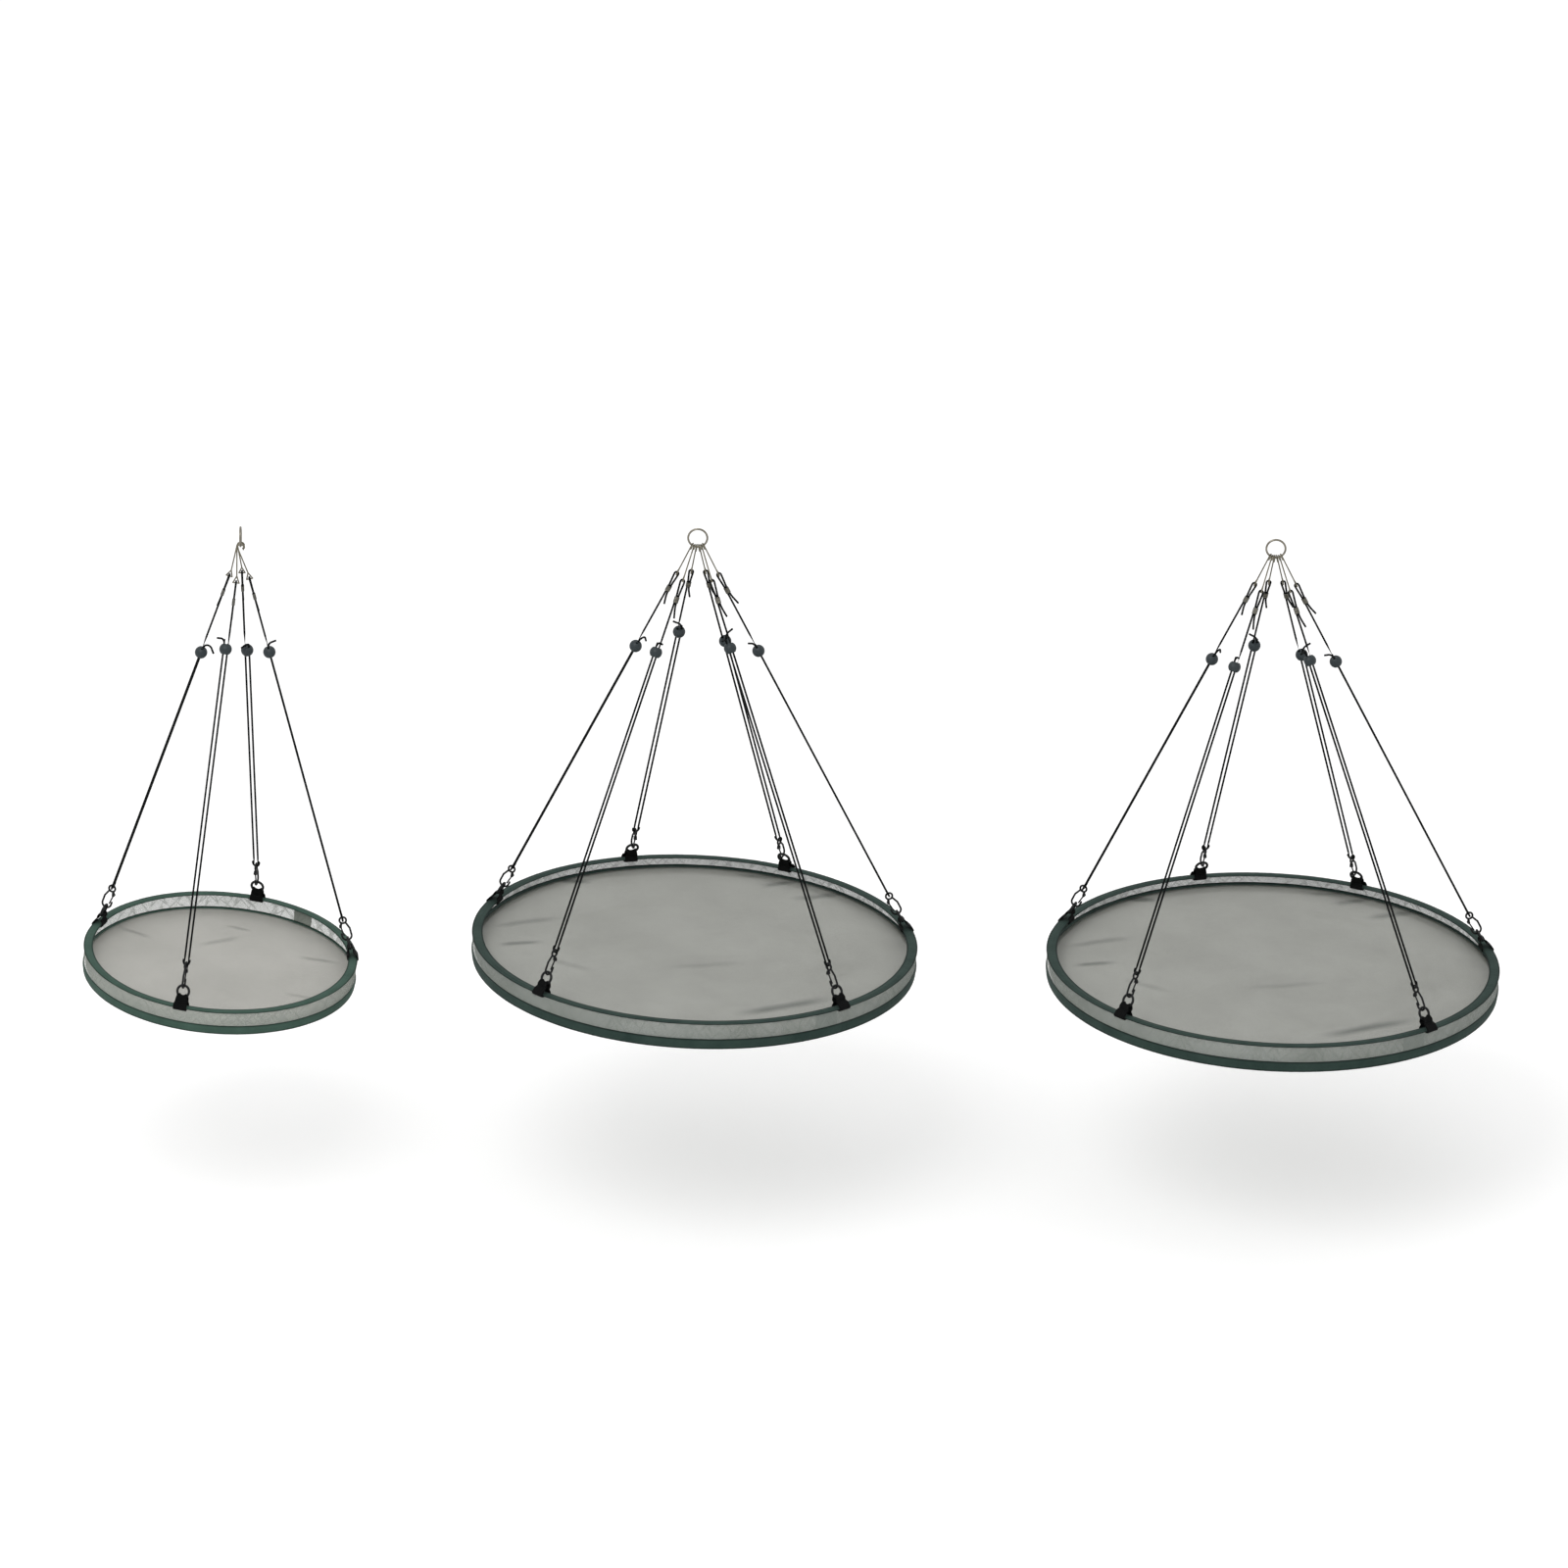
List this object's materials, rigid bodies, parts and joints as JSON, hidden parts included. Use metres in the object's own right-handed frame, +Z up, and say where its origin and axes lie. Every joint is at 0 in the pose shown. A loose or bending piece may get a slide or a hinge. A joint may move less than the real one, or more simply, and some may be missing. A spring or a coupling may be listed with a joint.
{
  "type": "hanging net tray set",
  "caption": "Set of round hanging trays: sprung fabric hoops with a fine net floor and wall, hung on adjustable cords with ball locks and snap hooks from a wire ring.",
  "frame": {"origin": "centre of the medium tray's hanging ring", "axes": "+Z up, +X to the right along the row of trays, +Y away from the viewer; the medium and large hanging rings face along Y and the small one along X"},
  "size_m": [2.0988, 0.6726, 0.7394],
  "materials": {
    "ring_wire": "bright nickel-plated wire",
    "hook_wire": "dull nickel-plated wire with bright crimped ferrules",
    "cord": "tight braided cord",
    "snap_steel": "black coated wire, satin",
    "oring_steel": "black coated wire, satin",
    "webbing": "woven nylon webbing",
    "sleeve": "dark green oxford cloth with stitched edges",
    "net_wall": "fine knitted polyester net",
    "net_floor": "fine woven polyester mesh",
    "lock_plastic": "moulded plastic, satin"
  },
  "bodies": {
    "hangers": {"hanging_rings": "ring_wire"},
    "small_tray": {"small_top_hooks": "hook_wire", "small_cords": "cord", "small_snap_hooks": "snap_steel", "small_o_rings": "oring_steel", "small_webbing_tabs": "webbing", "small_rim_hoop": "sleeve", "small_net_wall": "net_wall"},
    "small_base": {"small_base_hoop": "sleeve", "small_net_floor": "net_floor"},
    "small_lock_1": {"small_cord_lock_1": "lock_plastic"},
    "small_gate_1": {"small_snap_gate_1": "snap_steel"},
    "small_lock_2": {"small_cord_lock_2": "lock_plastic"},
    "small_gate_2": {"small_snap_gate_2": "snap_steel"},
    "small_lock_3": {"small_cord_lock_3": "lock_plastic"},
    "small_gate_3": {"small_snap_gate_3": "snap_steel"},
    "small_lock_4": {"small_cord_lock_4": "lock_plastic"},
    "small_gate_4": {"small_snap_gate_4": "snap_steel"},
    "medium_tray": {"medium_top_hooks": "hook_wire", "medium_cords": "cord", "medium_snap_hooks": "snap_steel", "medium_o_rings": "oring_steel", "medium_webbing_tabs": "webbing", "medium_rim_hoop": "sleeve", "medium_net_wall": "net_wall"},
    "medium_base": {"medium_base_hoop": "sleeve", "medium_net_floor": "net_floor"},
    "medium_lock_1": {"medium_cord_lock_1": "lock_plastic"},
    "medium_gate_1": {"medium_snap_gate_1": "snap_steel"},
    "medium_lock_2": {"medium_cord_lock_2": "lock_plastic"},
    "medium_gate_2": {"medium_snap_gate_2": "snap_steel"},
    "medium_lock_3": {"medium_cord_lock_3": "lock_plastic"},
    "medium_gate_3": {"medium_snap_gate_3": "snap_steel"},
    "medium_lock_4": {"medium_cord_lock_4": "lock_plastic"},
    "medium_gate_4": {"medium_snap_gate_4": "snap_steel"},
    "medium_lock_5": {"medium_cord_lock_5": "lock_plastic"},
    "medium_gate_5": {"medium_snap_gate_5": "snap_steel"},
    "medium_lock_6": {"medium_cord_lock_6": "lock_plastic"},
    "medium_gate_6": {"medium_snap_gate_6": "snap_steel"},
    "large_tray": {"large_top_hooks": "hook_wire", "large_cords": "cord", "large_snap_hooks": "snap_steel", "large_o_rings": "oring_steel", "large_webbing_tabs": "webbing", "large_rim_hoop": "sleeve", "large_net_wall": "net_wall"},
    "large_base": {"large_base_hoop": "sleeve", "large_net_floor": "net_floor"},
    "large_lock_1": {"large_cord_lock_1": "lock_plastic"},
    "large_gate_1": {"large_snap_gate_1": "snap_steel"},
    "large_lock_2": {"large_cord_lock_2": "lock_plastic"},
    "large_gate_2": {"large_snap_gate_2": "snap_steel"},
    "large_lock_3": {"large_cord_lock_3": "lock_plastic"},
    "large_gate_3": {"large_snap_gate_3": "snap_steel"},
    "large_lock_4": {"large_cord_lock_4": "lock_plastic"},
    "large_gate_4": {"large_snap_gate_4": "snap_steel"},
    "large_lock_5": {"large_cord_lock_5": "lock_plastic"},
    "large_gate_5": {"large_snap_gate_5": "snap_steel"},
    "large_lock_6": {"large_cord_lock_6": "lock_plastic"},
    "large_gate_6": {"large_snap_gate_6": "snap_steel"}
  },
  "joints": [
    {"name": "small_swing", "type": "hinge", "parent": "hangers", "child": "small_tray", "pos_m": [-0.668, 0, -0.01148], "axis": [0, 1, 0], "range_deg": [-12, 12]},
    {"name": "medium_swing", "type": "hinge", "parent": "hangers", "child": "medium_tray", "pos_m": [0, 0, -0.01268], "axis": [1, 0, 0], "range_deg": [-18, 18]},
    {"name": "large_swing", "type": "hinge", "parent": "hangers", "child": "large_tray", "pos_m": [0.845, 0, -0.02968], "axis": [1, 0, 0], "range_deg": [-18, 18]},
    {"name": "small_collapse", "type": "slide", "parent": "small_tray", "child": "small_base", "axis": [0.0784, -0.0384, 0.9962], "range_m": [0, 0.0155], "deforming": ["small_net_wall"]},
    {"name": "medium_collapse", "type": "slide", "parent": "medium_tray", "child": "medium_base", "axis": [0.0436, 0.0279, 0.9987], "range_m": [0, 0.0105], "deforming": ["medium_net_wall"]},
    {"name": "large_collapse", "type": "slide", "parent": "large_tray", "child": "large_base", "axis": [0.0401, 0.0244, 0.9989], "range_m": [0, 0.0105], "deforming": ["large_net_wall"]},
    {"name": "small_lock_1_slide", "type": "slide", "parent": "small_tray", "child": "small_lock_1", "axis": [0.3311, -0.0993, 0.9384], "range_m": [-0.405, 0]},
    {"name": "small_lock_2_slide", "type": "slide", "parent": "small_tray", "child": "small_lock_2", "axis": [-0.0072, -0.2779, 0.9606], "range_m": [-0.395, 0]},
    {"name": "small_lock_3_slide", "type": "slide", "parent": "small_tray", "child": "small_lock_3", "axis": [-0.2262, -0.0341, 0.9735], "range_m": [-0.43, 0]},
    {"name": "small_lock_4_slide", "type": "slide", "parent": "small_tray", "child": "small_lock_4", "axis": [0.1285, 0.2678, 0.9549], "range_m": [-0.455, 0]},
    {"name": "medium_lock_1_slide", "type": "slide", "parent": "medium_tray", "child": "medium_lock_1", "axis": [-0.4199, -0.1057, 0.9014], "range_m": [-0.44, 0]},
    {"name": "medium_lock_2_slide", "type": "slide", "parent": "medium_tray", "child": "medium_lock_2", "axis": [-0.1769, -0.4098, 0.8949], "range_m": [-0.43, 0]},
    {"name": "medium_lock_3_slide", "type": "slide", "parent": "medium_tray", "child": "medium_lock_3", "axis": [0.1491, -0.4309, 0.89], "range_m": [-0.44, 0]},
    {"name": "medium_lock_4_slide", "type": "slide", "parent": "medium_tray", "child": "medium_lock_4", "axis": [0.4253, -0.1689, 0.8891], "range_m": [-0.42, 0]},
    {"name": "medium_lock_5_slide", "type": "slide", "parent": "medium_tray", "child": "medium_lock_5", "axis": [0.3195, 0.3384, 0.8851], "range_m": [-0.445, 0]},
    {"name": "medium_lock_6_slide", "type": "slide", "parent": "medium_tray", "child": "medium_lock_6", "axis": [-0.2957, 0.3368, 0.8939], "range_m": [-0.47, 0]},
    {"name": "large_lock_1_slide", "type": "slide", "parent": "large_tray", "child": "large_lock_1", "axis": [-0.4311, -0.1045, 0.8962], "range_m": [-0.46, 0]},
    {"name": "large_lock_2_slide", "type": "slide", "parent": "large_tray", "child": "large_lock_2", "axis": [-0.1911, -0.4072, 0.8931], "range_m": [-0.44, 0]},
    {"name": "large_lock_3_slide", "type": "slide", "parent": "large_tray", "child": "large_lock_3", "axis": [0.1334, -0.43, 0.8929], "range_m": [-0.445, 0]},
    {"name": "large_lock_4_slide", "type": "slide", "parent": "large_tray", "child": "large_lock_4", "axis": [0.41, -0.169, 0.8963], "range_m": [-0.43, 0]},
    {"name": "large_lock_5_slide", "type": "slide", "parent": "large_tray", "child": "large_lock_5", "axis": [0.3032, 0.3375, 0.8912], "range_m": [-0.455, 0]},
    {"name": "large_lock_6_slide", "type": "slide", "parent": "large_tray", "child": "large_lock_6", "axis": [-0.308, 0.3335, 0.891], "range_m": [-0.485, 0]},
    {"name": "small_gate_1_turn", "type": "hinge", "parent": "small_tray", "child": "small_gate_1", "pos_m": [-0.86811, 0.06316, -0.59818], "axis": [0.3491, 0.9368, -0.024], "range_deg": [0, 30], "stiffness_Nm_per_rad": 0.02, "springref_deg": -17.19},
    {"name": "small_gate_2_turn", "type": "hinge", "parent": "small_tray", "child": "small_gate_2", "pos_m": [-0.66196, 0.17042, -0.6101], "axis": [0.9666, -0.2479, -0.0645], "range_deg": [0, 30], "stiffness_Nm_per_rad": 0.02, "springref_deg": -17.19},
    {"name": "small_gate_3_turn", "type": "hinge", "parent": "small_tray", "child": "small_gate_3", "pos_m": [-0.53047, 0.0149, -0.62741], "axis": [0.0774, -0.9969, -0.0169], "range_deg": [0, 30], "stiffness_Nm_per_rad": 0.02, "springref_deg": -17.19},
    {"name": "small_gate_4_turn", "type": "hinge", "parent": "small_tray", "child": "small_gate_4", "pos_m": [-0.75122, -0.17008, -0.61733], "axis": [-0.9661, 0.2514, 0.0595], "range_deg": [0, 30], "stiffness_Nm_per_rad": 0.02, "springref_deg": -17.19},
    {"name": "medium_gate_1_turn", "type": "hinge", "parent": "medium_tray", "child": "medium_gate_1", "pos_m": [0.28066, 0.06574, -0.61135], "axis": [0.2359, -0.9718, -0.004], "range_deg": [0, 30], "stiffness_Nm_per_rad": 0.02, "springref_deg": -17.19},
    {"name": "medium_gate_2_turn", "type": "hinge", "parent": "medium_tray", "child": "medium_gate_2", "pos_m": [0.11824, 0.26594, -0.61013], "axis": [0.9039, -0.4274, -0.0171], "range_deg": [0, 30], "stiffness_Nm_per_rad": 0.02, "springref_deg": -17.19},
    {"name": "medium_gate_3_turn", "type": "hinge", "parent": "medium_tray", "child": "medium_gate_3", "pos_m": [-0.09662, 0.27898, -0.60056], "axis": [0.9558, 0.2936, -0.018], "range_deg": [0, 30], "stiffness_Nm_per_rad": 0.02, "springref_deg": -17.19},
    {"name": "medium_gate_4_turn", "type": "hinge", "parent": "medium_tray", "child": "medium_gate_4", "pos_m": [-0.27776, 0.10985, -0.58676], "axis": [0.3884, 0.9214, -0.0108], "range_deg": [0, 30], "stiffness_Nm_per_rad": 0.02, "springref_deg": -17.19},
    {"name": "medium_gate_5_turn", "type": "hinge", "parent": "medium_tray", "child": "medium_gate_5", "pos_m": [-0.20918, -0.21038, -0.58045], "axis": [-0.7246, 0.6892, -0.0019], "range_deg": [0, 30], "stiffness_Nm_per_rad": 0.02, "springref_deg": -17.19},
    {"name": "medium_gate_6_turn", "type": "hinge", "parent": "medium_tray", "child": "medium_gate_6", "pos_m": [0.19075, -0.21809, -0.59883], "axis": [-0.7305, -0.6828, 0.0157], "range_deg": [0, 30], "stiffness_Nm_per_rad": 0.02, "springref_deg": -17.19},
    {"name": "large_gate_1_turn", "type": "hinge", "parent": "large_tray", "child": "large_gate_1", "pos_m": [1.14201, 0.06717, -0.64359], "axis": [0.2334, -0.9724, -0.0011], "range_deg": [0, 30], "stiffness_Nm_per_rad": 0.02, "springref_deg": -17.19},
    {"name": "large_gate_2_turn", "type": "hinge", "parent": "large_tray", "child": "large_gate_2", "pos_m": [0.97612, 0.27154, -0.64198], "axis": [0.9016, -0.4325, -0.0043], "range_deg": [0, 30], "stiffness_Nm_per_rad": 0.02, "springref_deg": -17.19},
    {"name": "large_gate_3_turn", "type": "hinge", "parent": "large_tray", "child": "large_gate_3", "pos_m": [0.75678, 0.28475, -0.63272], "axis": [0.9573, 0.2891, -0.0038], "range_deg": [0, 30], "stiffness_Nm_per_rad": 0.02, "springref_deg": -17.19},
    {"name": "large_gate_4_turn", "type": "hinge", "parent": "large_tray", "child": "large_gate_4", "pos_m": [0.57191, 0.1121, -0.61976], "axis": [0.389, 0.9212, -0.0042], "range_deg": [0, 30], "stiffness_Nm_per_rad": 0.02, "springref_deg": -17.19},
    {"name": "large_gate_5_turn", "type": "hinge", "parent": "large_tray", "child": "large_gate_5", "pos_m": [0.64175, -0.21474, -0.61438], "axis": [-0.7278, 0.6856, -0.012], "range_deg": [0, 30], "stiffness_Nm_per_rad": 0.02, "springref_deg": -17.19},
    {"name": "large_gate_6_turn", "type": "hinge", "parent": "large_tray", "child": "large_gate_6", "pos_m": [1.05012, -0.22274, -0.63215], "axis": [-0.7283, -0.6852, 0.0047], "range_deg": [0, 30], "stiffness_Nm_per_rad": 0.02, "springref_deg": -17.19}
  ]
}
